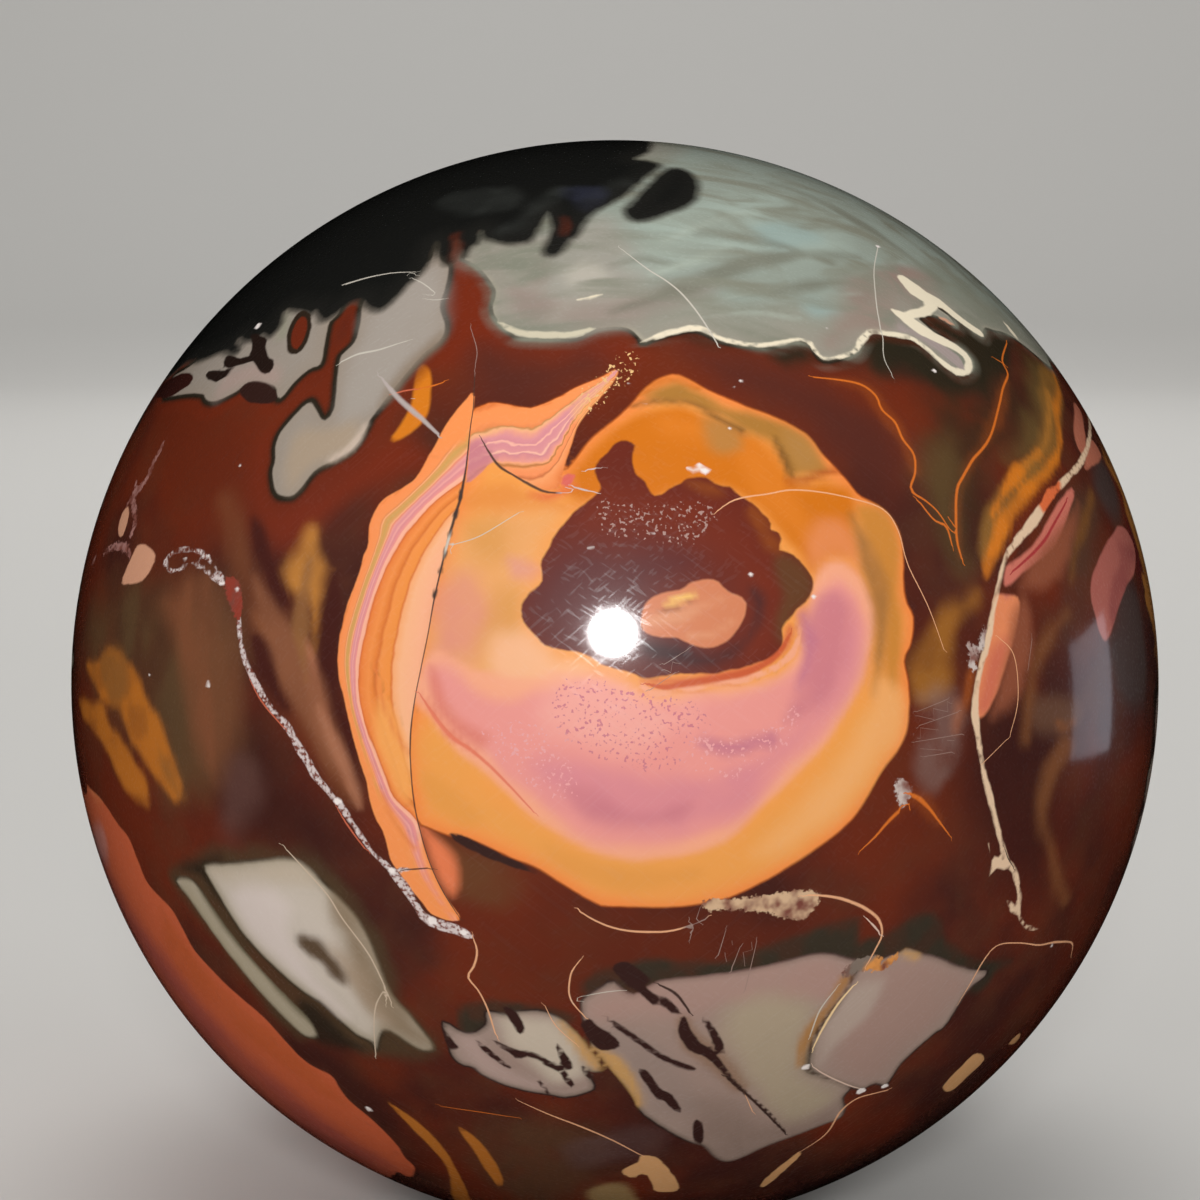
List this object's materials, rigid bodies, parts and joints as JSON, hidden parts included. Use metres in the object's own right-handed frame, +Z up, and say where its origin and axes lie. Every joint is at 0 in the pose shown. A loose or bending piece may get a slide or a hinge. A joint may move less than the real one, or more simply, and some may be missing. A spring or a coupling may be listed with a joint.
{
  "type": "polychrome jasper sphere",
  "caption": "Polished ball of polychrome jasper, one solid stone patterned in red-brown, orange, pink, grey-green and black, resting on a tiny flat.",
  "frame": {"origin": "centre of the small flat that the stone rests on, at its lowest point", "axes": "+Z straight up through the stone's centre; -Y faces the viewer of the picture, and +X is the picture's right"},
  "size_m": [0.08, 0.08, 0.0798],
  "materials": {
    "polished_jasper": "polished to a mirror gloss, patterned"
  },
  "bodies": {
    "root": {"jasper_sphere": "polished_jasper"}
  },
  "joints": []
}
